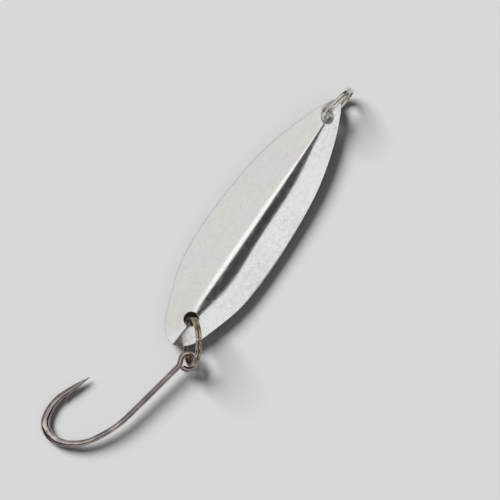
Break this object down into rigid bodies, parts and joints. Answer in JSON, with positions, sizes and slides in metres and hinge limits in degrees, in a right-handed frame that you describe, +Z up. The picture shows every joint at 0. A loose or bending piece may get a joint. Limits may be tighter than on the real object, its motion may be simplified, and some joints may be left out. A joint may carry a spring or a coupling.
{
  "type": "spoon lure",
  "caption": "Leaf-shaped keeled metal spoon lure with a split ring at the front for the line and a split ring at the tail carrying a single barbed hook.",
  "frame": {"origin": "middle of the lure's box on the plane it lies on, keel up", "axes": "+X along the blade towards the line ring, +Y to the side that the hook's point is on, +Z up out of the keel"},
  "size_m": [0.0922, 0.0222, 0.01],
  "materials": {
    "blade_plating": "bright plated, faintly mottled",
    "ring_nickel": "bright nickel",
    "ring_bronzed": "tarnished nickel",
    "hook_black_nickel": "bright black nickel"
  },
  "bodies": {
    "blade_body": {"blade": "blade_plating"},
    "front_ring_body": {"front_split_ring": "ring_nickel"},
    "tail_ring_body": {"tail_split_ring": "ring_bronzed"},
    "hook_body": {"hook": "hook_black_nickel"}
  },
  "joints": [
    {"name": "front_ring_swing", "type": "hinge", "parent": "blade_body", "child": "front_ring_body", "pos_m": [0.03857, -0.00257, 0.0031], "axis": [0, 0, 1], "range_deg": [-70, 70]},
    {"name": "tail_ring_swing", "type": "hinge", "parent": "blade_body", "child": "tail_ring_body", "pos_m": [-0.01003, -0.00257, 0.00323], "axis": [0, 0, 1], "range_deg": [-80, 40]},
    {"name": "hook_swing", "type": "hinge", "parent": "tail_ring_body", "child": "hook_body", "pos_m": [-0.01359, -0.00503, 0.00503], "axis": [-0.5331, 0.8405, 0.0965], "range_deg": [-8, 120]}
  ]
}
